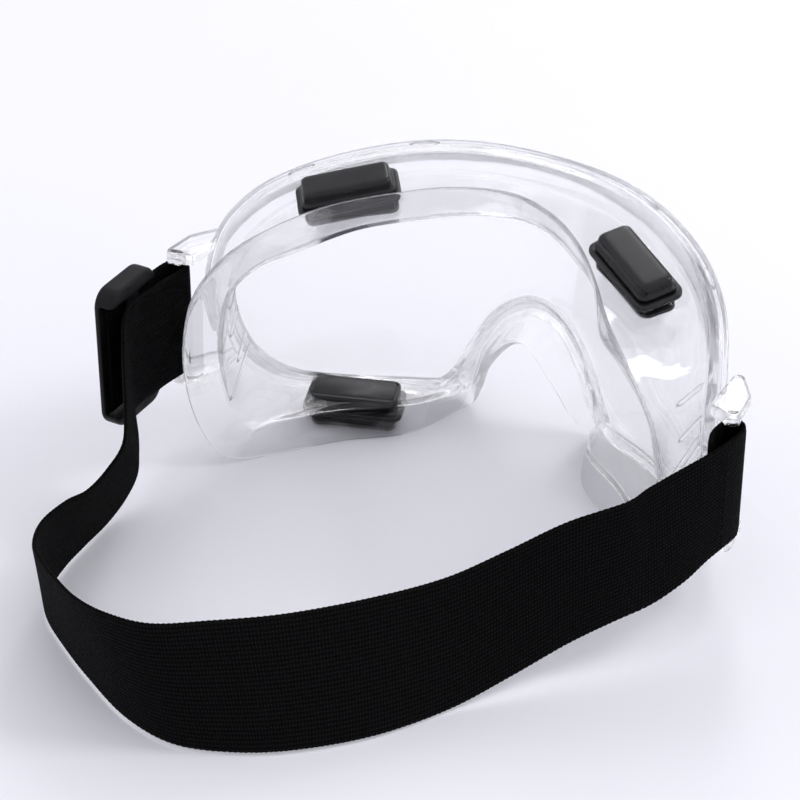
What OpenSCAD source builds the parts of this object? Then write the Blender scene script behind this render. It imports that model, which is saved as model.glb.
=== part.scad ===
// Indirect-vent splash goggles: soft clear frame, curved lens, three vents, ribbed elastic strap.
// x runs to the wearer's right, y from the face to the lens, z up; the goggles stand on z = 0.

/* [Frame] */
// Width over the rim, measured straight across
frame_w = 170; // [155:1:180]
// Height from the table to the top of the rim
frame_h = 91; // [84:1:98]
// Thickness of the soft wall
wall_t = 1.8; // [1.4:0.1:2.4]
// Width of the flared face flange at the forehead
flange_w = 8; // [6:0.5:10]

/* [Lens] */
// Outer radius of the cylindrical lens
lens_r = 88; // [86:1:100]
// Lens thickness
lens_t = 2; // [1.5:0.1:2.4]
// How deep the lens edge sits in the rim
lens_grip = 2; // [1.5:0.1:2.5]

/* [Vents] */
// Length of the upper vent seats along the rim
vent_l = 31; // [27:1:31]
// Width of the upper vent seats
vent_w = 15; // [13:1:15]
// Size of the lower left vent against the upper ones
lower_vent = 1; // [0.85:0.05:1]
// Height of the raised cap above its seat
cap_h = 4.6; // [3:0.2:5.4]
// Corner radius of the vent pieces
vent_corner = 3; // [1.5:0.5:4]

/* [Strap] */
// Width of the elastic webbing
strap_w = 36; // [30:1:38]
// Thickness of the webbing
strap_t = 1.5; // [1:0.1:1.8]
// Height of the middle of the strap at the lugs
strap_mid = 44; // [42:1:46]

/* [Slider] */
// Length of the slide adjuster along the strap
slider_l = 24; // [20:1:26]
// Thickness of its rails
slider_t = 8; // [7:0.5:9]

/* [Hidden] */

$fn = 40;
LEFT = -1;
RIGHT = 1;
TOP = 1;
BOTTOM = -1;
fit_gap = 0.1;       // between the faces of the lens and its groove
lens_inset = 3;      // from the rim outline to the edge of the lens
groove_inset = 2.4;  // from the rim outline to the bottom of the groove
clear_gap = 0.3;     // between neighbouring soft pieces
smooth = 3;          // curve steps between two outline points
rim_lip = 1.5;       // soft lip standing in front of the lens
rim_depth = 5;       // from the lens face to the back of the rim
flange_back = 0.55;   // slant of the thin free edge of the flange
lens_axis_y = 63 - lens_r;

// Right half of the rim outline, unrolled on the lens cylinder: [arc length, height],
// from the middle of the forehead round the temple and the cheek to the top of the nose arch.
rim_half = [
  [0, 91], [20, 91], [38.5, 90], [57, 87.5], [74.5, 84.5], [91, 80], [104, 71], [110, 56],
  [108.5, 40], [99.5, 22], [84, 9], [63, 2.5], [44, 0.5], [30, 1], [21.5, 8.5], [15.5, 20],
  [8.5, 31], [0, 36]
];
// Right half of the free edge of the face flange, [x, y, z], point for point with rim_half.
flange_half = [
  [0, 39, 90], [16, 33, 90.5], [30, 22, 90], [43, 6, 90], [54, -8, 86.5], [65, -16, 78],
  [74, -19.5, 64], [78, -20, 47], [79, -18, 30], [77, -14, 13], [70, -10, 2.5], [59, 3, 0],
  [46, 18, 0], [29, 33, 0], [21, 55, 0], [15, 52, 10], [9.5, 48, 23], [0, 48, 33]
];
// How far the crease of the flange lies inside its free edge, and in front of it.
crease_half = [
  [11, 5], [11, 4.5], [11, 4], [11, 4.5], [10, 6], [8, 9], [6, 10], [6, 10], [6, 10], [7, 9],
  [9, 8], [9.5, 6], [9.5, 4], [9, 3], [5, 3], [4, 5], [4, 6], [5, 6]
];

scale_x = frame_w / 170;
scale_z = frame_h / 91;

function mirrored(half) = concat(half, [
  for (i = [len(half) - 2:-1:1]) [for (k = [0:len(half[i]) - 1]) k == 0 ? -half[i][k] : half[i][k]]
]);
function even(half) = concat(half, [for (i = [len(half) - 2:-1:1]) half[i]]);
function curve(a, b, c, d, t) =
  0.5 * (2 * b + (c - a) * t + (2 * a - 5 * b + 4 * c - d) * t * t + (3 * b - a - 3 * c + d) * t * t * t);
function smooth_ring(ring) = let (n = len(ring)) [
  for (i = [0:n - 1], j = [0:smooth - 1])
    curve(ring[(i + n - 1) % n], ring[i], ring[(i + 1) % n], ring[(i + 2) % n], j / smooth)
];
function smooth_path(path) = let (n = len(path)) [
  for (i = [0:n - 2], j = [0:smooth - (i == n - 2 ? 0 : 1)])
    curve(path[max(i - 1, 0)], path[i], path[i + 1], path[min(i + 2, n - 1)], j / smooth)
];
function unit(v) = v / norm(v);

rim_free = smooth_ring(mirrored([for (p = rim_half) [p[0] * scale_x, p[1] * scale_z]]));
rim_ring = [for (p = rim_free) [p[0], max(p[1], 0.3)]];
flange_free = smooth_ring(mirrored([for (p = flange_half) [p[0] * scale_x, p[1], p[2] * scale_z]]));
flange_ring = [for (p = flange_free) [p[0], p[1], max(p[2], 0)]];
crease_ring = smooth_ring(even(crease_half));
ring_n = len(rim_ring);

// Inward direction of a ring at point i, seen from the front.
function inward(ring, i, up) = let (
    n = len(ring),
    a = ring[(i + n - 1) % n],
    b = ring[(i + 1) % n],
    t = unit([b[0] - a[0], b[up] - a[up]])
  ) [t[1], -t[0]];
function on_cylinder(s, z, r) =
  let (a = s / lens_r * 180 / PI) [r * sin(a), lens_axis_y + r * cos(a), z];
// Ring that follows the rim, moved inward by d, on the cylinder of radius r.
function rim_at(d, r) = [
  for (i = [0:ring_n - 1]) let (p = rim_ring[i] + d * inward(rim_ring, i, 1)) on_cylinder(p[0], p[1], r)
];
// Ring at the crease of the face flange; more is the extra distance inward.
function crease_at(more) = [
  for (i = [0:ring_n - 1])
    let (f = flange_ring[i], c = crease_ring[i], w = inward(flange_ring, i, 2) * (c[0] * flange_w / 8 + more))
      [f[0] + w[0], f[1] + c[1], f[2] + w[1]]
];
// Ring at the free edge of the flange, moved inward by more and a little towards the face.
function flange_at(more) = [
  for (i = [0:ring_n - 1])
    let (f = flange_ring[i], w = inward(flange_ring, i, 2) * more)
      [f[0] + w[0], f[1] - flange_back * more, f[2] + w[1]]
];
function between(a, b, t) = [for (i = [0:len(a) - 1]) a[i] + (b[i] - a[i]) * t];

// Closed skin through a cycle of equal rings.
module tube_of_rings(rings) {
  m = len(rings);
  n = len(rings[0]);
  points = [for (r = rings, p = r) p];
  faces = [
    for (i = [0:m - 1], j = [0:n - 1], h = [0, 1])
      let (
        a = i * n + j,
        b = i * n + (j + 1) % n,
        c = ((i + 1) % m) * n + (j + 1) % n,
        d = ((i + 1) % m) * n + j
      ) h == 0 ? [a, b, c] : [a, c, d]
  ];
  polyhedron(points, faces);
}

// Closed bar through an open row of equal rings, with flat ends.
module bar_of_rings(rings) {
  m = len(rings);
  n = len(rings[0]);
  points = [for (r = rings, p = r) p];
  sides = [
    for (i = [0:m - 2], j = [0:n - 1], h = [0, 1])
      let (a = i * n + j, b = i * n + (j + 1) % n, c = (i + 1) * n + (j + 1) % n, d = (i + 1) * n + j)
        h == 0 ? [a, b, c] : [a, c, d]
  ];
  first = [for (j = [n - 1:-1:0]) j];
  last = [for (j = [0:n - 1]) (m - 1) * n + j];
  polyhedron(points, concat(sides, [first, last]));
}

wall_inset = 6.6;
wall_front = rim_at(wall_inset, lens_r - rim_depth);
wall_front_in = rim_at(wall_inset + wall_t, lens_r - lens_t - 2);
crease_out = crease_at(0);
crease_in = crease_at(wall_t);

module frame_skin() {
  tube_of_rings([
    rim_at(0, lens_r + rim_lip),
    rim_at(0, lens_r - 2),
    rim_at(0.8, lens_r - rim_depth + 0.5),
    wall_front,
    between(wall_front, crease_out, 0.5),
    crease_out,
    flange_at(0),
    flange_at(0.9),
    crease_in,
    between(wall_front_in, crease_in, 0.5),
    wall_front_in,
    rim_at(lens_grip + lens_inset, lens_r - lens_t - fit_gap),
    rim_at(groove_inset, lens_r - lens_t - fit_gap),
    rim_at(groove_inset, lens_r + fit_gap),
    rim_at(lens_grip + groove_inset, lens_r + fit_gap),
    rim_at(lens_grip + groove_inset, lens_r + rim_lip)
  ]);
}

// Heights of the vent pieces above the outer face of the wall.
neck_in = 5;                      // the neck is this much narrower than the seat
ring_in = 3;                      // and the ring plate is this much narrower
seat_z = 0.5;
seat_h = 1.8;
ring_h = 1.4;
ring_z = -wall_t - 2.6;           // the ring plate lies inside the wall
cap_z = seat_z + seat_h + 0.4;

// The three vents: two on the forehead wall and one on the left cheek wall.
vents = [[LEFT, TOP], [RIGHT, TOP], [LEFT, BOTTOM]];
// Centre on the outer face of the wall, turn and tilts.
function vent_place(row) = row == TOP ? [46.5, 25, 82.6] : [48.5, 30.5, cap_z + cap_h];
function vent_turn(row) = row == TOP ? 34 : 19;
function vent_tilt(row) = row == TOP ? [9, 10] : [0, 0];
function vent_size(row) = [vent_l, vent_w] * (row == TOP ? 1 : lower_vent);
module at_vent(side, row) {
  place = vent_place(row);
  tilt = vent_tilt(row);
  mirror([side == LEFT ? 1 : 0, 0, 0])
    translate([place[0] * scale_x, place[1], row == TOP ? place[2] * scale_z : place[2]])
      rotate([0, 0, -vent_turn(row)])
        rotate([tilt[0], tilt[1], 0])
          mirror([0, 0, row == TOP ? 0 : 1])
            children();
}
module pad(size, h, r) {
  linear_extrude(h) hull()
    for (x = [-1, 1], y = [-1, 1])
      translate([x * (size[0] / 2 - r), y * (size[1] / 2 - r)]) circle(r);
}
// Block with square corners, centred in plan.
module block(size, less, z, h) {
  translate([0, 0, z + h / 2]) cube([size[0] - less, size[1] - less, h], center = true);
}

module frame_body() color([0.93, 0.95, 0.97, 0.45]) difference() {
  frame_skin();
  for (v = vents) at_vent(v[0], v[1]) {
    block(vent_size(v[1]), neck_in - 0.4, -8, 12);
    block(vent_size(v[1]), -2 * clear_gap, seat_z - 0.1, seat_h + cap_h + 1);
    block(vent_size(v[1]), ring_in - 2 * clear_gap, ring_z - 1.6, ring_h + 1.8);
  }
}

// The lens: vertical strips of the cylinder between the lower and the upper edge.
lens_ring = [for (i = [0:ring_n - 1]) rim_ring[i] + lens_inset * inward(rim_ring, i, 1)];
half_n = floor(ring_n / 2);       // the middle of the nose arch
side_i = 7 * smooth + 1;          // the widest point, at the temple
lens_top = [for (i = [0:side_i]) lens_ring[i]];
lens_low = [for (i = [half_n:-1:side_i]) lens_ring[i]];
lens_s = lens_ring[side_i][0];
lens_steps = 34;                  // strips in each half
end_h = 0.01;                     // the end strips close to an edge of twice this height
module lens() color([0.9, 0.95, 1, 0.3]) {
  columns = [for (k = [-lens_steps:lens_steps]) sin(90 * k / lens_steps) * lens_s];
  bar_of_rings([
    for (s = columns)
      let (z1 = lookup(abs(s), lens_low) - end_h, z2 = lookup(abs(s), lens_top) + end_h)
        [on_cylinder(s, z1, lens_r), on_cylinder(s, z1, lens_r - lens_t),
         on_cylinder(s, z2, lens_r - lens_t), on_cylinder(s, z2, lens_r)]
  ]);
}

// Plate inside the wall, round the neck of the seat.
module vent_ring(side, row) color([0.16, 0.16, 0.18]) at_vent(side, row) difference() {
  translate([0, 0, ring_z]) pad(vent_size(row) - [ring_in, ring_in], ring_h, vent_corner);
  block(vent_size(row), neck_in, ring_z - 1, ring_h + 2);
}

// Seat plate outside the wall with a hollow neck through it and an air grille.
module vent_seat(side, row) color([0.1, 0.1, 0.11]) at_vent(side, row) {
  size = vent_size(row);
  difference() {
    union() {
      translate([0, 0, seat_z]) pad(size, seat_h, vent_corner);
      block(size, neck_in + 0.2, ring_z - 0.4, seat_z + 1 - ring_z);
    }
    block(size, neck_in + 2.8, ring_z - 1, seat_z + 1 - ring_z);
    for (k = [-4:4])
      translate([k * size[0] / 12 - 0.6, -size[1] / 2 + 4.5, seat_z - 0.5])
        cube([1.2, size[1] - 9, seat_h + 2]);
  }
}

// Raised cap over the grille: a hollow cover, open for air along both long sides.
module vent_cap(side, row) color([0.13, 0.13, 0.14]) at_vent(side, row)
  translate([0, 0, cap_z]) {
    size = vent_size(row);
    difference() {
      union() {
        pad(size - [2.5, 2.5], 1.2, vent_corner);
        translate([0, 0, 1]) pad(size - [4, 4], cap_h - 1, vent_corner - 0.5);
      }
      block(size, 8, -1, cap_h);
      block([size[0] - 10, size[1] + 2], 0, -1, 1.8);
    }
  }

// Clear loop moulded on the side of the rim: two arms and the upright bar that carries the strap.
lug_bar = [90, -4];
arm_h = 4;
slot_h = strap_w + 2.5;
module strap_lug(side) color([0.93, 0.95, 0.97, 0.6])
  mirror([side == LEFT ? 1 : 0, 0, 0]) {
    for (z = [strap_mid - slot_h / 2 - arm_h, strap_mid + slot_h / 2])
      translate([0, 0, z]) linear_extrude(arm_h) hull() {
        translate([84.8 * scale_x, 12]) circle(2);
        translate([88.5 * scale_x, 6]) circle(1.6);
        translate([lug_bar[0] * scale_x, lug_bar[1]]) circle(2.4);
      }
    translate([lug_bar[0] * scale_x, lug_bar[1], strap_mid - slot_h / 2 - 1])
      cylinder(r = 2, h = slot_h + 2);
  }

// Webbing between a lower and an upper edge, each a list of points.
module webbing(low, high) {
  a = smooth_path(low);
  b = smooth_path(high);
  n = len(a);
  bar_of_rings([
    for (i = [0:n - 1])
      let (
        t = (a[min(i + 1, n - 1)] - a[max(i - 1, 0)]) + (b[min(i + 1, n - 1)] - b[max(i - 1, 0)]),
        w = unit(cross(t, b[i] - a[i])) * strap_t / 2
      ) [a[i] - w, a[i] + w, b[i] + w, b[i] - w]
  ]);
}
strap_low = strap_mid - strap_w / 2;
strap_top = strap_mid + strap_w / 2;
function rise(points, z) = [for (p = points) [p[0] * scale_x, p[1], z]];

// Right end: round the bar and back, the two layers meeting behind the lug.
right_turn = [[86.4, -9], [86.8, -3], [88, -0.6], [90, 0], [92.1, -0.8], [93.3, -4], [92.6, -9]];
right_low = [[90.3, -16, 24.5], [87, -24, 21], [81.5, -33, 17.3], [74.6, -42.2, 15]];
right_high = [[89.6, -16, 60.5], [83.5, -23.5, 57], [77.8, -30, 53.4], [73.6, -35.5, 50.5]];
module strap_loop_right() color([0.06, 0.06, 0.07])
  webbing(
    concat(rise([[88.3, -14]], strap_low), rise(right_turn, strap_low), right_low),
    concat(rise([[88.3, -14]], strap_top), rise(right_turn, strap_top), right_high)
  );

// Left end: out of the adjuster, round the bar and back into it.
left_turn = [[-94, -35], [-94, -11], [-93.3, -4], [-92.1, -0.8], [-90, 0], [-88, -0.6], [-86.8, -4],
             [-88, -12], [-88.6, -18], [-88.6, -32], [-87.4, -36.5]];
module strap_loop_left() color([0.06, 0.06, 0.07])
  webbing(rise(left_turn, strap_low), rise(left_turn, strap_top));

// Single layer of webbing round the back of the head, standing on its edge on the table.
band_low = [
  [72, -44.5, 13.8], [65.5, -52, 10.5], [55, -66.5, 4.8], [45, -82, 0.9], [33, -101, 0.8],
  [18, -116, 0.8], [4, -125, 0.8], [-12, -130, 0.8], [-29, -127, 0.8], [-47, -118, 0.8],
  [-62, -109, 0.8], [-73, -101, 0.8], [-80, -91.5, 0.8], [-83, -79, 0.8], [-84, -66.5, 0.8],
  [-84.5, -55, 0.9], [-84, -46, 4], [-83.5, -40, 9], [-84.5, -37, 14], [-85, -36, 20]
];
band_high = [
  [71.2, -37, 49], [61, -46, 46], [49, -57, 39.5], [37, -70, 34.5], [23, -86, 33.3],
  [7, -103, 33.5], [-8, -117, 35], [-20, -127, 36.3], [-32.5, -129, 36.6], [-44.5, -126, 35.6],
  [-56, -119.5, 34.3], [-64, -114, 33.3], [-71.5, -106.5, 31.7], [-76, -96, 30.7], [-76, -84.5, 30.2],
  [-75, -75.5, 28.7], [-74, -66.5, 31], [-72.5, -60, 37], [-77, -52, 45], [-84.4, -41, 55]
];
module strap_band() color([0.06, 0.06, 0.07]) webbing(band_low, band_high);

// A row of short thread bars.
stitch = [0.5, 2, 1.2];
module stitch_row(count, pitch) {
  for (k = [0:count - 1])
    translate([-stitch[0] / 2, -stitch[1] / 2, (k - (count - 1) / 2) * pitch])
      cube(stitch);
}
module stitching_right() color([0.1, 0.1, 0.1])
  translate([92.8, -13, strap_mid - 1]) rotate([0, 0, -20]) stitch_row(11, 3);

// Slide adjuster: two rails past the edges of the webbing, outer bars at both ends and a middle bar.
slider_x = -91.3;
slider_y = -25;
rail_h = 4.5;
slider_open = strap_w + 1.6;
bar_w = 4;
module strap_slider() color([0.05, 0.05, 0.05]) translate([slider_x, slider_y, strap_mid]) {
  for (s = [-1, 1])
    translate([-slider_t / 2 + 0.2, -slider_l / 2, s == 1 ? slider_open / 2 : -slider_open / 2 - rail_h])
      cube([slider_t, slider_l, rail_h]);
  for (y = [-slider_l / 2, slider_l / 2 - bar_w])
    translate([-slider_t / 2 - 1.8, y, -slider_open / 2 - rail_h])
      cube([2, bar_w, slider_open + 2 * rail_h]);
  translate([-1.2, -bar_w / 2, -slider_open / 2 - 1]) cube([2.2, bar_w, slider_open + 2]);
}

frame_body();
lens();
vent_ring(LEFT, TOP);  // vent_ring_top_left
vent_ring(RIGHT, TOP);  // vent_ring_top_right
vent_ring(LEFT, BOTTOM);  // vent_ring_bottom_left
vent_seat(LEFT, TOP);  // vent_seat_top_left
vent_seat(RIGHT, TOP);  // vent_seat_top_right
vent_seat(LEFT, BOTTOM);  // vent_seat_bottom_left
vent_cap(LEFT, TOP);  // vent_cap_top_left
vent_cap(RIGHT, TOP);  // vent_cap_top_right
vent_cap(LEFT, BOTTOM);  // vent_cap_bottom_left
strap_lug(LEFT);  // strap_lug_left
strap_lug(RIGHT);  // strap_lug_right
strap_loop_left();
strap_loop_right();
strap_band();
stitching_right();
strap_slider();
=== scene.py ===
"""Looks of the splash goggles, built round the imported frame. x is the wearer's right, y forward, z up."""

import math

import bmesh
import bpy
import numpy as np
from mathutils import Matrix, Vector


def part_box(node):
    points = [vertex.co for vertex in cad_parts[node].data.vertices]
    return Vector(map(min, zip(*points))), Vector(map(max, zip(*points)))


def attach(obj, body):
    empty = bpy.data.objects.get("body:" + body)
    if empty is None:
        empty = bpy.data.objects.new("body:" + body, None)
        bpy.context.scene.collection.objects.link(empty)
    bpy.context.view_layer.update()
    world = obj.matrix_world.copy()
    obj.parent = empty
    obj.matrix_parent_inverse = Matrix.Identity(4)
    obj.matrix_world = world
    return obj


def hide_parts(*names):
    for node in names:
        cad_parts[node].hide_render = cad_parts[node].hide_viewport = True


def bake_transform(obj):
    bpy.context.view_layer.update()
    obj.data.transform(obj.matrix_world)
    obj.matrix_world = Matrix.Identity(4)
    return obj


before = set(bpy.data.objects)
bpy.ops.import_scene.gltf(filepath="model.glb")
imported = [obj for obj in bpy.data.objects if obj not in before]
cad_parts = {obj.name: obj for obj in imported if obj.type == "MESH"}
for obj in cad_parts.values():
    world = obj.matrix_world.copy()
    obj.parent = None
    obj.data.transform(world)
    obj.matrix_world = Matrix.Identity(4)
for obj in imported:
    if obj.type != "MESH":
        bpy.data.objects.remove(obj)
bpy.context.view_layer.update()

MM = 0.001

# ---------------------------------------------------------------- dimensions, in millimetres
LENS_R = 88
LENS_T = 2
LENS_AXIS_Y = 63 - LENS_R
LENS_INSET = 3
GROOVE_INSET = 2.4
LENS_GRIP = 2
FIT_GAP = 0.1
WALL_T = 1.8
WALL_INSET = 6.6
RIM_DEPTH = 5
FLANGE_BACK = 0.55
RING_STEPS = 8          # curve steps between two outline points
PATH_STEPS = 24         # curve steps between two points of the webbing's route
TANGENT_PASSES = 6      # how often a ring's directions are evened out round tight corners

# Rim section, outside first: [inset from the outline, offset from the lens's outer radius].
RIM_SECTION = [
    (1.8, 1.5), (0.5, 1.45), (0.05, 1), (0, 0.3), (0.7, 0), (0.8, -1.3),
    (0.1, -1.7), (0, -2.4), (0.1, -3.9), (0.9, -4.5), (3.2, -4.7), (5.9, -4.7),
]
WALL_SHARES = (0.08, 0.2, 0.35, 0.5, 0.65, 0.8, 0.93)   # rings from the rim to the crease
FLANGE_SHARES = (0.2, 0.5, 0.8, 0.97)                   # rings from the crease to the free edge

# Long oval recess on each upper temple.
RECESS_DEPTH = 1.5
RECESS_ABOVE = 45                       # it stays above this height
RECESS_MID, RECESS_HALF = 88, 11        # along the rim
RECESS_SHARE, RECESS_SPREAD = 0.3, 0.24  # across the wall, as shares of its depth

# Small moulded details: places along the right half of the rim, and their radii.
RIB_SPOTS, RIB_R = ((109, 48), (103, 29)), 0.55
RUNG_SPOTS, RUNG_R = ((106, 67), (109.5, 56), (109, 45), (105, 33)), 0.75
CLIP_SPOTS, CLIP_R = ((38, 90), (77, 84)), 0.85

VENT_L, VENT_W = 31, 15
VENT_CORNER = 3
SEAT_Z, SEAT_H = 0.5, 1.8
CAP_Z, CAP_H = 2.7, 4.6
CAP_LIFT = 0.9                  # how far the air slots under a cap raise its lower edge
LIFT_SHARES = (0.9, 0.9, 0.4)   # how much of that the three lowest rows take

STRAP_W, STRAP_T, STRAP_MID = 36, 1.5, 44
STRAP_LOW, STRAP_HIGH = STRAP_MID - STRAP_W / 2, STRAP_MID + STRAP_W / 2
RIB_PITCH = 1.2         # lengthwise ribs of the webbing
THREAD_PITCH = 0.9      # cross threads of the webbing
PICOT_PITCH = 1.5       # scallops along its edges
PICOT_DEPTH = 0.28
ROW_STEP = 0.5          # mesh rows along the webbing

LUG_BAR = (90, -4)      # place of the lug's upright bar
LUG_BAR_R = 1.95
SLOT_H = STRAP_W + 2.5
ARM_H = 4
# Right lug arm seen from above: (x, y, radius) of the rounds that its outline runs round.
ARM_ROUNDS = [(84.8, 12, 2), (83.9, 1, 1.1), (84.6, -3.4, 1.4), (89.2, 5, 2.2), (*LUG_BAR, 2.4)]

# Right half of the rim, [arc length on the lens cylinder, height], forehead to nose arch.
RIM_HALF = [
    (0, 91), (20, 91), (38.5, 90), (57, 87.5), (74.5, 84.5), (91, 80), (104, 71), (110, 56),
    (108.5, 40), (99.5, 22), (84, 9), (63, 2.5), (44, 0.5), (30, 1), (21.5, 8.5), (15.5, 20),
    (8.5, 31), (0, 36),
]
# Right half of the free edge of the face flange, point for point with RIM_HALF.
FLANGE_HALF = [
    (0, 39, 90), (16, 33, 90.5), (30, 22, 90), (43, 6, 90), (54, -8, 86.5), (65, -16, 78),
    (74, -19.5, 64), (78, -20, 47), (79, -18, 30), (77, -14, 13), (70, -10, 2.5), (59, 3, 0),
    (46, 18, 0), (29, 33, 0), (21, 55, 0), (15, 52, 10), (9.5, 48, 23), (0, 48, 33),
]
# How far the flange's crease lies inside its free edge, and in front of it.
CREASE_HALF = [
    (11, 5), (11, 4.5), (11, 4), (11, 4.5), (10, 6), (8, 9), (6, 10), (6, 10), (6, 10), (7, 9),
    (9, 8), (9.5, 6), (9.5, 4), (9, 3), (5, 3), (4, 5), (4, 6), (5, 6),
]

# The webbing's route, lower edge and upper edge.
RIGHT_TURN = [(88.3, -14), (86.4, -9), (86.8, -3), (88, -0.6), (90, 0), (92.1, -0.8), (93.3, -4), (92.6, -9)]
RIGHT_LOW = [(90.3, -16, 24.5), (87, -24, 21), (81.5, -33, 17.3), (74.6, -42.2, 15)]
RIGHT_HIGH = [(89.6, -16, 60.5), (83.5, -23.5, 57), (77.8, -30, 53.4), (73.6, -35.5, 50.5)]
BAND_LOW = [
    (65.5, -52, 10.5), (55, -66.5, 4.8), (45, -82, 0.9), (33, -101, 0.8),
    (18, -116, 0.8), (4, -125, 0.8), (-12, -130, 0.8), (-29, -127, 0.8), (-47, -118, 0.8),
    (-62, -109, 0.8), (-73, -101, 0.8), (-80, -91.5, 0.8), (-83, -79, 0.8), (-84, -66.5, 0.8),
    (-84.5, -55, 0.9), (-84, -46, 4), (-83.5, -40, 9), (-84.5, -37, 14), (-85, -36, 20),
]
BAND_HIGH = [
    (61, -46, 46), (49, -57, 39.5), (37, -70, 34.5), (23, -86, 33.3),
    (7, -103, 33.5), (-8, -117, 35), (-20, -127, 36.3), (-32.5, -129, 36.6), (-44.5, -126, 35.6),
    (-56, -119.5, 34.3), (-64, -114, 33.3), (-71.5, -106.5, 31.7), (-76, -96, 30.7), (-76, -84.5, 30.2),
    (-75, -75.5, 28.7), (-74, -66.5, 31), (-72.5, -60, 37), (-77, -52, 45), (-84.4, -41, 55),
]
LEFT_TURN = [
    (-88.6, -32), (-88.6, -18), (-88, -12), (-86.8, -4), (-88, -0.6), (-90, 0), (-92.1, -0.8),
    (-93.3, -4), (-94, -11), (-94, -35),
]


# ---------------------------------------------------------------- curves and meshes
def curve(a, b, c, d, t):
    """Point at share t between b and c on the smooth curve through all four."""
    square, cube = 2 * a - 5 * b + 4 * c - d, 3 * b - a - 3 * c + d
    return 0.5 * (2 * b + (c - a) * t + square * t * t + cube * t ** 3)


def smooth_ring(ring):
    ring, n = np.array(ring, float), len(ring)
    return np.array([curve(ring[i - 1], ring[i], ring[(i + 1) % n], ring[(i + 2) % n], j / RING_STEPS)
                     for i in range(n) for j in range(RING_STEPS)])


def smooth_path(path):
    path, n = np.array(path, float), len(path)
    points = [curve(path[max(i - 1, 0)], path[i], path[i + 1], path[min(i + 2, n - 1)], j / PATH_STEPS)
              for i in range(n - 1) for j in range(PATH_STEPS)]
    return np.array(points + [path[-1]])


def mirrored(half):
    """Whole ring from its right half, whose first and last points are on the middle plane."""
    return list(half) + [(-p[0],) + tuple(p[1:]) for p in half[-2:0:-1]]


def even(half):
    """The same for values that are equal on both sides."""
    return list(half) + list(half[-2:0:-1])


def smoothstep(a, b, x):
    t = np.clip((x - a) / (b - a), 0, 1)
    return t * t * (3 - 2 * t)


def add_object(name, data):
    obj = bpy.data.objects.new(name, data)
    bpy.context.scene.collection.objects.link(obj)
    return obj


def shade_smooth(mesh):
    mesh.polygons.foreach_set("use_smooth", [True] * len(mesh.polygons))


def make_mesh(name, points, faces, smooth=True):
    """A mesh object from points in millimetres, with its normals outward."""
    mesh = bpy.data.meshes.new(name)
    mesh.from_pydata([tuple(float(v) * MM for v in p) for p in points], [], [tuple(f) for f in faces])
    bm = bmesh.new()
    bm.from_mesh(mesh)
    bmesh.ops.recalc_face_normals(bm, faces=bm.faces)
    bm.to_mesh(mesh)
    bm.free()
    if smooth:
        shade_smooth(mesh)
    return add_object(name, mesh)


def apply_modifier(obj, kind, **settings):
    modifier = obj.modifiers.new(kind.lower(), kind)
    for key, value in settings.items():
        setattr(modifier, key, value)
    bpy.context.view_layer.update()
    graph = bpy.context.evaluated_depsgraph_get()
    mesh = bpy.data.meshes.new_from_object(obj.evaluated_get(graph))
    obj.modifiers.clear()
    obj.data = mesh
    shade_smooth(mesh)
    return obj


def grid_faces(rows, cols, close_rows, close_cols):
    return [(i * cols + j, i * cols + (j + 1) % cols,
             ((i + 1) % rows) * cols + (j + 1) % cols, ((i + 1) % rows) * cols + j)
            for i in range(rows if close_rows else rows - 1)
            for j in range(cols if close_cols else cols - 1)]


def loft(name, rings, capped=False):
    """Skin through equal closed rings: a tube closed on itself, or one with a cap at each end."""
    rows, cols = len(rings), len(rings[0])
    faces = grid_faces(rows, cols, not capped, True)
    if capped:
        faces += [tuple(range(cols - 1, -1, -1)), tuple((rows - 1) * cols + j for j in range(cols))]
    return make_mesh(name, np.concatenate(rings), faces)


def tube(path, radius, sides=8):
    """Rings of a round tube along a path, its ends drawn in."""
    path = np.array(path, float)
    n = len(path)
    rings = []
    for i, p in enumerate(path):
        t = path[min(i + 1, n - 1)] - path[max(i - 1, 0)]
        t = t / np.linalg.norm(t)
        side = np.cross(t, (0, 0, 1) if abs(t[2]) < 0.9 else (0, 1, 0))
        side = side / np.linalg.norm(side)
        up = np.cross(side, t)
        r = radius * (0.35 if i in (0, n - 1) else 1)
        rings.append([p + r * (math.cos(a) * side + math.sin(a) * up)
                      for a in np.linspace(0, 2 * math.pi, sides, endpoint=False)])
    return rings


def join(name, objects):
    """One object from several; the meshes keep their places."""
    bm = bmesh.new()
    for o in objects:
        o.data.transform(o.matrix_world)
        bm.from_mesh(o.data)
    mesh = bpy.data.meshes.new(name)
    bm.to_mesh(mesh)
    bm.free()
    for o in objects:
        bpy.data.objects.remove(o)
    shade_smooth(mesh)
    return add_object(name, mesh)


# ---------------------------------------------------------------- materials
def material(name, color, roughness, **sockets):
    mat = bpy.data.materials.new(name)
    mat.use_nodes = True
    nodes, links = mat.node_tree.nodes, mat.node_tree.links
    shader = nodes["Principled BSDF"]
    shader.inputs["Base Color"].default_value = (*color, 1)
    shader.inputs["Roughness"].default_value = roughness
    for key, value in sockets.items():
        shader.inputs[key.replace("_", " ")].default_value = value
    return mat, nodes, links, shader


def noise(nodes, links, scale, detail=4.0):
    """Noise over the object's own coordinates; scale is in cycles a metre."""
    place = nodes.new("ShaderNodeTexCoord")
    texture = nodes.new("ShaderNodeTexNoise")
    texture.inputs["Scale"].default_value = scale
    texture.inputs["Detail"].default_value = detail
    links.new(place.outputs["Object"], texture.inputs["Vector"])
    return texture


def vary(nodes, links, source, target, low, high):
    """Drives a socket from a texture between two values."""
    ramp = nodes.new("ShaderNodeMapRange")
    ramp.inputs["From Min"].default_value = 0.3
    ramp.inputs["From Max"].default_value = 0.7
    ramp.inputs["To Min"].default_value = low
    ramp.inputs["To Max"].default_value = high
    links.new(source, ramp.inputs["Value"])
    links.new(ramp.outputs["Result"], target)


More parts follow.
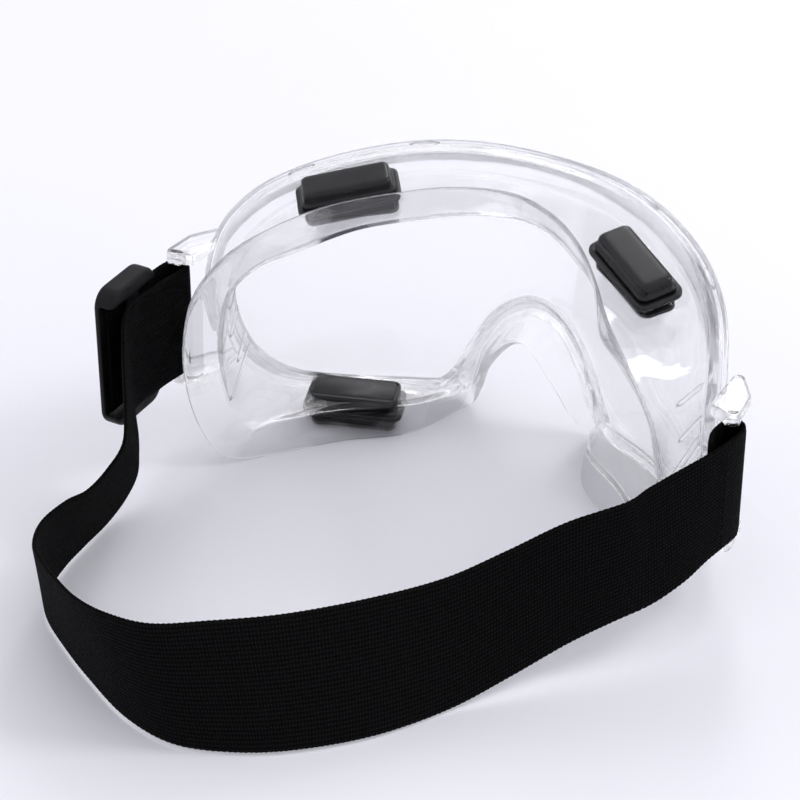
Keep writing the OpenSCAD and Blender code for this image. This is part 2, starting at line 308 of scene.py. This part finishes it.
def tint(nodes, links, source, target, low, high):
    """Drives a colour from a texture between two colours."""
    ramp = nodes.new("ShaderNodeValToRGB")
    ramp.color_ramp.elements[0].position = 0.3
    ramp.color_ramp.elements[1].position = 0.7
    ramp.color_ramp.elements[0].color = (*low, 1)
    ramp.color_ramp.elements[1].color = (*high, 1)
    links.new(source, ramp.inputs["Fac"])
    links.new(ramp.outputs["Color"], target)


def add_bump(nodes, links, shader, source, strength, distance):
    bump = nodes.new("ShaderNodeBump")
    bump.inputs["Strength"].default_value = strength
    bump.inputs["Distance"].default_value = distance
    links.new(source, bump.inputs["Height"])
    links.new(bump.outputs["Normal"], shader.inputs["Normal"])


def clear_plastic(name, color, ior, rough, wave, alpha):
    mat, nodes, links, shader = material(name, color, rough, IOR=ior, Transmission_Weight=1.0, Alpha=alpha)
    haze = noise(nodes, links, 90)
    vary(nodes, links, haze.outputs["Fac"], shader.inputs["Roughness"], rough * 0.5, rough * 1.7)
    tint(nodes, links, haze.outputs["Fac"], shader.inputs["Base Color"],
         tuple(c * 0.992 for c in color), color)
    flow = noise(nodes, links, 45, 2.0)
    add_bump(nodes, links, shader, flow.outputs["Fac"], wave, 0.0006)
    return mat


def black_plastic(name, dark, light, rough, grain, gloss=0.35):
    mat, nodes, links, shader = material(name, dark, rough, IOR=1.5, Specular_IOR_Level=gloss)
    broad = noise(nodes, links, 160)
    fine = noise(nodes, links, 2600, 3.0)
    tint(nodes, links, broad.outputs["Fac"], shader.inputs["Base Color"], dark, light)
    vary(nodes, links, broad.outputs["Fac"], shader.inputs["Roughness"], rough * 0.85, rough * 1.2)
    add_bump(nodes, links, shader, fine.outputs["Fac"], grain, 0.0002)
    return mat


def webbing_material():
    """Knitted elastic: threads across ribs, both from the UV map, which is in metres along and across."""
    mat, nodes, links, shader = material("webbing", (0.008, 0.008, 0.009), 0.8, Specular_IOR_Level=0.06)
    uv = nodes.new("ShaderNodeUVMap")
    uv.uv_map = "UVMap"
    waves = []
    for direction, pitch in (("X", THREAD_PITCH * MM), ("Y", RIB_PITCH * MM)):
        wave = nodes.new("ShaderNodeTexWave")
        wave.bands_direction = direction
        wave.inputs["Scale"].default_value = math.pi / (10 * pitch)
        wave.inputs["Distortion"].default_value = 0.6
        wave.inputs["Detail"].default_value = 1.0
        links.new(uv.outputs["UV"], wave.inputs["Vector"])
        waves.append(wave)
    mix = nodes.new("ShaderNodeMath")
    mix.operation = "MULTIPLY"
    links.new(waves[0].outputs["Fac"], mix.inputs[0])
    links.new(waves[1].outputs["Fac"], mix.inputs[1])
    tint(nodes, links, mix.outputs["Value"], shader.inputs["Base Color"], (0.0008, 0.0008, 0.001),
         (0.0062, 0.0062, 0.0068))
    fuzz = noise(nodes, links, 900)
    vary(nodes, links, fuzz.outputs["Fac"], shader.inputs["Roughness"], 0.7, 0.95)
    add_bump(nodes, links, shader, mix.outputs["Value"], 0.6, 0.00025)
    return mat


def floor_material():
    mat, nodes, links, shader = material("floor", (0.77, 0.77, 0.82), 0.55)
    shade = noise(nodes, links, 3)
    tint(nodes, links, shade.outputs["Fac"], shader.inputs["Base Color"],
         (0.76, 0.76, 0.815), (0.78, 0.78, 0.825))
    return mat


MATERIALS = {
    "clear_frame": clear_plastic("clear_frame", (0.997, 0.998, 1.0), 1.44, 0.04, 0.22, 0.8),
    "clear_lens": clear_plastic("clear_lens", (0.997, 0.998, 1.0), 1.46, 0.01, 0.03, 0.7),
    "vent_ring": black_plastic("vent_ring", (0.022, 0.022, 0.026), (0.034, 0.034, 0.039), 0.42, 0.25),
    "vent_seat": black_plastic("vent_seat", (0.006, 0.006, 0.007), (0.011, 0.011, 0.013), 0.3, 0.2),
    "vent_cap": black_plastic("vent_cap", (0.005, 0.005, 0.006), (0.009, 0.009, 0.011), 0.24, 0.15, 0.3),
    "webbing": webbing_material(),
    "thread": black_plastic("thread", (0.003, 0.003, 0.003), (0.006, 0.006, 0.006), 0.85, 0.6, 0.05),
    "slider": black_plastic("slider", (0.004, 0.004, 0.005), (0.008, 0.008, 0.009), 0.5, 0.3, 0.15),
}


def paint(obj, slot):
    obj.data.materials.clear()
    obj.data.materials.append(MATERIALS[slot])


def dress(obj, slot, body, replaced=()):
    """Gives a piece the material of a slot, hangs it under its body's empty and hides the CAD nodes it stands
    for.
    """
    paint(obj, slot)
    if replaced:
        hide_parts(*replaced)
    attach(obj, body)


# ---------------------------------------------------------------- frame rings
RIM_RING = smooth_ring(mirrored(RIM_HALF))
RIM_RING[:, 1] = np.maximum(RIM_RING[:, 1], 0.3)
FLANGE_RING = smooth_ring(mirrored(FLANGE_HALF))
FLANGE_RING[:, 2] = np.maximum(FLANGE_RING[:, 2], 0)
CREASE_RING = smooth_ring(even(CREASE_HALF))
RING_N = len(RIM_RING)


def inward(a, b):
    """Inward unit directions of a ring given by its two coordinates, evened out round tight corners."""
    ring = np.stack([a, b], 1)
    t = np.roll(ring, -1, 0) - np.roll(ring, 1, 0)
    for _ in range(TANGENT_PASSES):
        t = (np.roll(t, 1, 0) + 2 * t + np.roll(t, -1, 0)) / 4
    t /= np.linalg.norm(t, axis=1)[:, None]
    return np.stack([t[:, 1], -t[:, 0]], 1)


RIM_IN = inward(RIM_RING[:, 0], RIM_RING[:, 1])
FLANGE_IN = inward(FLANGE_RING[:, 0], FLANGE_RING[:, 2])


def on_cylinder(s, z, r):
    """Points at radius r about the lens axis; s is arc length on the lens's outer face."""
    return np.stack([r * np.sin(s / LENS_R), LENS_AXIS_Y + r * np.cos(s / LENS_R), z], -1)


def rim_at(d, r):
    """The rim outline drawn in by d, at radius r."""
    p = RIM_RING + RIM_IN * d
    return on_cylinder(p[:, 0], p[:, 1], r)


def crease_at(more):
    """Ring of the crease between wall and flange, drawn in by more."""
    w = FLANGE_IN * (CREASE_RING[:, :1] + more)
    return FLANGE_RING + np.stack([w[:, 0], CREASE_RING[:, 1], w[:, 1]], 1)


def flange_at(more):
    """Ring of the flange's free edge, drawn in by more and set back towards the face."""
    w = FLANGE_IN * more
    return FLANGE_RING + np.stack([w[:, 0], np.full(RING_N, -FLANGE_BACK * more), w[:, 1]], 1)


WALL_FRONT = rim_at(WALL_INSET, LENS_R - RIM_DEPTH)
WALL_FRONT_IN = rim_at(WALL_INSET + WALL_T, LENS_R - LENS_T - 2)
CREASE_OUT, CREASE_IN = crease_at(0), crease_at(WALL_T)


def recess(t):
    """Depth of the long oval recess on each upper temple, at share t from rim to crease."""
    s, z = np.abs(RIM_RING[:, 0]), RIM_RING[:, 1]
    along = np.where(z > RECESS_ABOVE, np.exp(-((s - RECESS_MID) / RECESS_HALF) ** 4), 0)
    return RECESS_DEPTH * along * math.exp(-((t - RECESS_SHARE) / RECESS_SPREAD) ** 4)


def wall(a, b, t):
    """Ring on the wall at share t from the rim to the crease, with the recess pressed in."""
    w = RIM_IN * recess(t)[:, None]
    return a + (b - a) * t + np.stack([w[:, 0], np.zeros(RING_N), w[:, 1]], 1)


def frame_rings():
    """Rings of the frame's section: rim, wall and flange outside, back inside, then the lens groove."""
    outer = [rim_at(inset, LENS_R + offset) for inset, offset in RIM_SECTION] + [WALL_FRONT]
    outer += [wall(WALL_FRONT, CREASE_OUT, t) for t in WALL_SHARES]
    flange = flange_at(0)
    bead = CREASE_OUT + np.array([0, 0.35, 0])
    outer += [CREASE_OUT, bead + (flange - bead) * 0.08]
    outer += [CREASE_OUT + (flange - CREASE_OUT) * t for t in FLANGE_SHARES]
    lip = flange_at(0.9)
    inner = [flange, lip, lip + (CREASE_IN - lip) * 0.3, lip + (CREASE_IN - lip) * 0.7, CREASE_IN]
    inner += [wall(WALL_FRONT_IN, CREASE_IN, t) for t in WALL_SHARES[::-1]]
    seat_r, face_r = LENS_R - LENS_T - FIT_GAP, LENS_R + FIT_GAP
    seat_in, lip_in = LENS_GRIP + LENS_INSET, LENS_GRIP + GROOVE_INSET
    groove = [WALL_FRONT_IN, rim_at(seat_in + 0.6, seat_r - 0.9), rim_at(seat_in, seat_r),
              rim_at(GROOVE_INSET, seat_r), rim_at(GROOVE_INSET, face_r), rim_at(lip_in, face_r),
              rim_at(lip_in + 0.1, LENS_R + 0.8), rim_at(lip_in - 0.4, LENS_R + 1.5)]
    return outer + inner + groove


def build_frame():
    body = loft("frame_shell", frame_rings())
    apply_modifier(body, "SUBSURF", levels=1, render_levels=1)
    dress(body, "clear_frame", "goggles", ["frame_body"])


def nearest(s, z):
    """Index of the rim ring point nearest to an arc length and a height."""
    return int(np.argmin((RIM_RING[:, 0] - s) ** 2 + (RIM_RING[:, 1] - z) ** 2))


def build_frame_details():
    """Moulded ribs across the wall, clips in the rim channel and the ladder inside each temple."""
    channel = rim_at(0.55, LENS_R - 0.65)
    parts = []
    for side in (-1, 1):
        for s, z in RIB_SPOTS:
            i = nearest(side * s, z)
            path = [WALL_FRONT[i] + (CREASE_OUT[i] - WALL_FRONT[i]) * t for t in np.linspace(0.04, 0.96, 12)]
            parts.append(loft("rib", tube(path, RIB_R), capped=True))
        for s, z in RUNG_SPOTS:
            i = nearest(side * s, z)
            across = CREASE_IN[i] - WALL_FRONT_IN[i]
            path = [WALL_FRONT_IN[i] + across * t for t in np.linspace(0.05, 0.55, 8)]
            parts.append(loft("rung", tube(path, RUNG_R), capped=True))
        for s, z in CLIP_SPOTS:
            i = nearest(side * s, z)
            path = [channel[(i + k) % RING_N] for k in range(-2, 3)]
            parts.append(loft("clip", tube(path, CLIP_R), capped=True))
    dress(join("frame_ribs", parts), "clear_frame", "goggles")


def build_lens():
    """The lens as upright columns of points, closest together at its two ends."""
    edge = RIM_RING + RIM_IN * LENS_INSET
    half = RING_N // 2
    widest = int(np.argmax(edge[:half, 0]))
    top, low = edge[:widest + 1], edge[widest:half + 1][::-1]
    s_max = edge[widest, 0]
    column_count, levels = 130, 14
    columns = np.sin(np.linspace(-math.pi / 2, math.pi / 2, column_count)) * (s_max - 0.02)
    z_low = np.interp(np.abs(columns), np.maximum.accumulate(low[:, 0]), low[:, 1])
    z_top = np.interp(np.abs(columns), np.maximum.accumulate(top[:, 0]), top[:, 1])
    round_off = 0.3
    rings = []
    for s, a, b in zip(columns, z_low, z_top):
        z = np.linspace(a, b, levels)
        corner = min(round_off, (b - a) / 6)
        z[0], z[-1] = a + corner, b - corner
        front = on_cylinder(np.full(levels, s), z, LENS_R)
        back = on_cylinder(np.full(levels, s), z[::-1], LENS_R - LENS_T)
        edge_top = on_cylinder(np.array([s]), np.array([b]), LENS_R - LENS_T / 2)
        edge_low = on_cylinder(np.array([s]), np.array([a]), LENS_R - LENS_T / 2)
        rings.append(np.concatenate([front, edge_top, back, edge_low]))
    dress(loft("lens_shell", rings, capped=True), "clear_lens", "goggles", ["lens"])


# ---------------------------------------------------------------- vents
def vent_matrix(side, row):
    """From a vent's own axes, z away from the frame, to its place on the frame."""
    if row == "top":
        place, turn, tilt, flip = (46.5, 25, 82.6), 34, (9, 10), 1
    else:
        place, turn, tilt, flip = (48.5, 30.5, CAP_Z + CAP_H), 19, (0, 0), -1
    m = Matrix.Translation(place) @ Matrix.Rotation(math.radians(-turn), 4, "Z")
    m = m @ Matrix.Rotation(math.radians(tilt[1]), 4, "Y") @ Matrix.Rotation(math.radians(tilt[0]), 4, "X")
    m = m @ Matrix.Diagonal((1, 1, flip, 1))
    return Matrix.Diagonal((-1 if side == "left" else 1, 1, 1, 1)) @ m


def rounded(size, less, z, corner, arc=8):
    """Ring of a rectangle with round corners at height z, drawn in by less on every side."""
    w, h = size[0] / 2 - less, size[1] / 2 - less
    r = max(corner - less * 0.4, 0.6)
    points = []
    for k, (cx, cy) in enumerate(((w - r, h - r), (-w + r, h - r), (-w + r, -h + r), (w - r, -h + r))):
        for a in np.linspace(k * 90, (k + 1) * 90, arc):
            points.append((cx + r * math.cos(math.radians(a)), cy + r * math.sin(math.radians(a)), z))
    return np.array(points)


def vent_piece(name, matrix, size, rows, lift=0.0):
    """Closed piece through rounded rectangles, rows of (less, z).

    lift raises the middle of the long edges of the three lowest rows.
    """
    rings = []
    for k, (less, z) in enumerate(rows):
        ring = rounded(size, less, z, VENT_CORNER)
        if lift and k < len(LIFT_SHARES):
            middle = 1 - smoothstep(size[0] / 2 - 7, size[0] / 2 - 4, np.abs(ring[:, 0]))
            ring[:, 2] += lift * middle * LIFT_SHARES[k]
        rings.append([tuple(matrix @ Vector(p)) for p in ring])
    return loft(name, [np.array(r) for r in rings], capped=True)


def build_vents():
    size, top, cap_top = (VENT_L, VENT_W), SEAT_Z + SEAT_H, CAP_Z + CAP_H
    for side, row in (("left", "top"), ("right", "top"), ("left", "bottom")):
        m = vent_matrix(side, row)
        seat = vent_piece(f"seat_{row}_{side}", m, size, [
            (0.5, SEAT_Z), (0.1, SEAT_Z + 0.15), (0, SEAT_Z + 0.4), (0, SEAT_Z + 0.75), (0.5, SEAT_Z + 0.85),
            (0.5, SEAT_Z + 1.0), (0.1, SEAT_Z + 1.1), (0, SEAT_Z + 1.25), (0.05, top - 0.15), (0.35, top),
            (3.2, top), (3.4, top - 0.5)])
        neck = vent_piece(f"neck_{row}_{side}", m, size, [
            (2.7, -4.6), (2.5, -4.4), (2.5, SEAT_Z + 0.3), (2.7, SEAT_Z + 0.5)])
        dress(join(f"vent_seat_{row}_{side}_fine", [seat, neck]), "vent_seat", "goggles",
              [f"vent_seat_{row}_{side}"])
        cap = vent_piece(f"vent_cap_{row}_{side}_fine", m, size, [
            (1.6, CAP_Z), (1.3, CAP_Z + 0.12), (1.25, CAP_Z + 0.9), (1.35, CAP_Z + 1.15), (1.7, CAP_Z + 1.25),
            (2.0, CAP_Z + 1.4), (2.05, CAP_Z + 2.2), (2.25, cap_top - 0.9), (2.5, cap_top - 0.45),
            (2.95, cap_top - 0.15), (3.6, cap_top - 0.02), (4.6, cap_top)], lift=CAP_LIFT)
        apply_modifier(cap, "SUBSURF", levels=1, render_levels=1)
        dress(cap, "vent_cap", "goggles", [f"vent_cap_{row}_{side}"])
        paint(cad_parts[f"vent_ring_{row}_{side}"], "vent_ring")


# ---------------------------------------------------------------- lugs and slider
def rounded_union(name, parts, voxel):
    """One closed, softened solid from overlapping parts."""
    obj = join(name, parts)
    apply_modifier(obj, "REMESH", mode="VOXEL", voxel_size=voxel * MM)
    return apply_modifier(obj, "SMOOTH", factor=0.5, iterations=5)


def block(low, high):
    (x0, y0, z0), (x1, y1, z1) = low, high
    points = [(x, y, z) for x in (x0, x1) for y in (y0, y1) for z in (z0, z1)]
    faces = [(0, 1, 3, 2), (4, 6, 7, 5), (0, 4, 5, 1), (2, 3, 7, 6), (0, 2, 6, 4), (1, 5, 7, 3)]
    return make_mesh("block", points, faces, smooth=False)


def round_bar(x, y, rows, sides=24):
    """Upright turned bar, rows of (radius, z)."""
    angles = np.linspace(0, 2 * math.pi, sides, endpoint=False)
    return loft("bar", [np.stack([x + r * np.cos(angles), y + r * np.sin(angles), np.full(sides, z)], 1)
                        for r, z in rows], capped=True)


def lug_arm(side, z0, z1):
    """Convex arm between two heights, its outline round ARM_ROUNDS and its edges drawn in by 0.5."""
    hull = bmesh.new()
    for z, less in ((z0, 0.5), (z0 + 0.5, 0), (z1 - 0.5, 0), (z1, 0.5)):
        for x, y, r in ARM_ROUNDS:
            for degrees in range(0, 360, 15):
                angle = math.radians(degrees)
                px, py = x + (r - less) * math.cos(angle), y + (r - less) * math.sin(angle)
                hull.verts.new((side * px * MM, py * MM, z * MM))
    bmesh.ops.convex_hull(hull, input=hull.verts)
    loose = [v for v in hull.verts if not v.link_faces]
    bmesh.ops.delete(hull, geom=loose, context="VERTS")
    mesh = bpy.data.meshes.new("arm")
    hull.to_mesh(mesh)
    hull.free()
    return add_object("arm", mesh)


def build_lugs():
    low, high = STRAP_MID - SLOT_H / 2, STRAP_MID + SLOT_H / 2
    for side, name in ((-1, "left"), (1, "right")):
        bar = round_bar(side * LUG_BAR[0], LUG_BAR[1], [
            (2.3, low - 1), (2.2, low + 0.2), (LUG_BAR_R, low + 1.2), (LUG_BAR_R, high - 1.2),
            (2.2, high - 0.2), (2.3, high + 1)])
        parts = [lug_arm(side, low - ARM_H, low), lug_arm(side, high, high + ARM_H), bar]
        dress(rounded_union(f"lug_{name}", parts, 0.4), "clear_frame", "goggles", [f"strap_lug_{name}"])


def cut_away(obj, tool):
    """Takes the tool's shape out of a piece."""
    apply_modifier(obj, "BOOLEAN", operation="DIFFERENCE", object=tool, solver="EXACT")
    bpy.data.objects.remove(tool)


def build_slider():
    """An outer plate with a window, its top and bottom ends, and a cross bar between the webbing's layers."""
    low, high = (Vector(v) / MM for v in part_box("strap_slider"))
    middle = (low + high) / 2
    window = 18.8           # half its height
    rail, plate = 4.0, 2.0
    inner = low.x + 6.6     # the side towards the frame
    cross_x = -92.5
    rings = []
    for x, less in ((low.x, 0.7), (low.x + 0.5, 0.1), (low.x + 1.2, 0), (inner - 1.2, 0),
                    (inner - 0.3, 0.5), (inner, 1.0)):
        outline = rounded((high.y - low.y, high.z - low.z), less, 0, 5.5, 12)
        rings.append(np.stack([np.full(len(outline), x), middle.y + outline[:, 0],
                               middle.z + outline[:, 1]], 1))
    body = loft("slider_body", rings, capped=True)
    cut_away(body, block((low.x - 2, low.y + rail, middle.z - window),
                         (high.x + 2, high.y - rail, middle.z + window)))
    cut_away(body, block((low.x + plate, low.y - 2, middle.z - window),
                         (high.x + 2, high.y + 2, middle.z + window)))
    cross = block((cross_x, middle.y - rail / 2, low.z + 3), (inner, middle.y + rail / 2, high.z - 3))
    dress(rounded_union("slider", [body, cross], 0.35), "slider", "adjuster", ["strap_slider"])


# ---------------------------------------------------------------- webbing
def webbing_route():
    """Matching points of the lower and the upper edge, evenly spaced along the middle, and their places."""
    low = ([(x, y, STRAP_LOW) for x, y in RIGHT_TURN] + RIGHT_LOW + BAND_LOW
           + [(x, y, STRAP_LOW) for x, y in LEFT_TURN])
    high = ([(x, y, STRAP_HIGH) for x, y in RIGHT_TURN] + RIGHT_HIGH + BAND_HIGH
            + [(x, y, STRAP_HIGH) for x, y in LEFT_TURN])
    a, b = smooth_path(low), smooth_path(high)
    middle = (a + b) / 2
    run = np.concatenate([[0], np.cumsum(np.linalg.norm(np.diff(middle, axis=0), axis=1))])
    rows = int(run[-1] / ROW_STEP)
    at = np.linspace(0, run[-1], rows)
    edges = [np.stack([np.interp(at, run, edge[:, k]) for k in range(3)], 1) for edge in (a, b)]
    return edges[0], edges[1], at


def build_webbing():
    """One ribbed ribbon from the right end round the head to the left end, with its UV map in metres."""
    a, b, at = webbing_route()
    rows = len(at)
    across = b - a
    width = np.linalg.norm(across, axis=1)
    centre, unit = (a + b) / 2, across / width[:, None]
    t = np.gradient(a + b, axis=0)
    normal = np.cross(t, across)
    normal /= np.linalg.norm(normal, axis=1)[:, None]
    for _ in range(4):
        normal[1:-1] = (normal[:-2] + 2 * normal[1:-1] + normal[2:]) / 4
        normal /= np.linalg.norm(normal, axis=1)[:, None]
    ribs = int(round(STRAP_W / RIB_PITCH))
    cols = ribs * 4
    shares = np.linspace(-0.5, 0.5, cols + 1)
    rib = np.abs(np.sin(np.pi * (shares + 0.5) * ribs))
    half = STRAP_T / 2 * (0.80 + 0.20 * rib) * np.sqrt(np.clip(1 - (np.abs(shares) * 2) ** 24, 0.15, 1))
    picot = PICOT_DEPTH * (np.abs(np.sin(np.pi * at / PICOT_PITCH)) - 1)
    points = np.zeros((rows, 2 * (cols + 1), 3))
    for i in range(rows):
        span = width[i] + 2 * picot[i]
        line = centre[i] + np.outer(shares * span, unit[i])
        points[i, :cols + 1] = line + np.outer(half, normal[i])
        points[i, cols + 1:] = (line - np.outer(half, normal[i]))[::-1]
    strap = loft("strap", list(points), capped=True)
    uv = strap.data.uv_layers.new(name="UVMap")
    per = 2 * (cols + 1)
    index = np.zeros(len(strap.data.loops), int)
    strap.data.loops.foreach_get("vertex_index", index)
    row, col = index // per, index % per
    col = np.where(col > cols, 2 * cols + 1 - col, col)
    places = np.stack([at[row] * MM, col / cols * STRAP_W * MM], 1)
    uv.data.foreach_set("uv", places.astype(np.float32).ravel())
    strap.data.materials.append(MATERIALS["webbing"])
    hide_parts("strap_loop_left", "strap_loop_right", "strap_band")
    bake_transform(strap)


def build_stitching():
    low, high = (np.array(v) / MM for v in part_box("stitching_right"))
    x, y = (low[0] + high[0]) / 2, (low[1] + high[1]) / 2
    stitch_count, stitch_h, points = 11, 2.0, 7
    parts = []
    for z in np.linspace(low[2] + 0.6, high[2] - 0.6, stitch_count):
        shares = [k / (points - 1) for k in range(points)]
        path = [(x + 0.15 * math.sin(share * math.pi), y, z + (share - 0.5) * stitch_h) for share in shares]
        parts.append(loft("stitch", tube(path, 0.28, 6), capped=True))
    dress(join("stitches_right", parts), "thread", "goggles", ["stitching_right"])


# ---------------------------------------------------------------- camera, light, floor
def build_camera():
    azimuth, elevation, distance = math.radians(29), math.radians(33), 0.82
    target = Vector((-0.0155, 0, 0.035))
    back = Vector((math.sin(azimuth) * math.cos(elevation), -math.cos(azimuth) * math.cos(elevation),
                   math.sin(elevation)))
    data = bpy.data.cameras.new("camera")
    data.sensor_width = 36
    data.lens = 125.55
    data.clip_start = 0.01
    camera = add_object("camera", data)
    camera.location = target + back * distance
    camera.rotation_euler = (-back).to_track_quat("-Z", "Y").to_euler()
    bpy.context.scene.camera = camera


def area_light(name, place, size, energy, color):
    """A rectangular light that points at the goggles."""
    data = bpy.data.lights.new(name, "AREA")
    data.shape, data.size, data.size_y = "RECTANGLE", size[0], size[1]
    data.energy, data.color = energy, color
    light = add_object(name, data)
    light.location = place
    light.rotation_euler = (Vector((0, -0.02, 0.03)) - Vector(place)).to_track_quat("-Z", "Y").to_euler()


def build_studio():
    bpy.context.scene.view_settings.view_transform = "Standard"
    world = bpy.data.worlds.new("studio")
    world.use_nodes = True
    background = world.node_tree.nodes["Background"]
    background.inputs["Color"].default_value = (0.96, 0.96, 1.0, 1)
    background.inputs["Strength"].default_value = 1.0
    bpy.context.scene.world = world
    area_light("key", (0.75, 0.45, 0.95), (0.34, 0.34), 3.8, (1, 0.99, 1))
    area_light("back", (-0.25, 0.75, 0.8), (0.2, 0.5), 1.6, (1, 1, 1))
    area_light("fill", (-0.8, -0.3, 0.7), (0.6, 0.6), 0.4, (0.95, 0.96, 1))
    span = 4000
    floor = make_mesh("floor", [(-span, -span, 0), (span, -span, 0), (span, span, 0), (-span, span, 0)],
                      [(0, 1, 2, 3)])
    floor.data.materials.append(floor_material())
    floor.location.z = -0.0002


build_camera()
build_studio()
build_frame()
build_frame_details()
build_lens()
build_vents()
build_lugs()
build_slider()
build_webbing()
build_stitching()
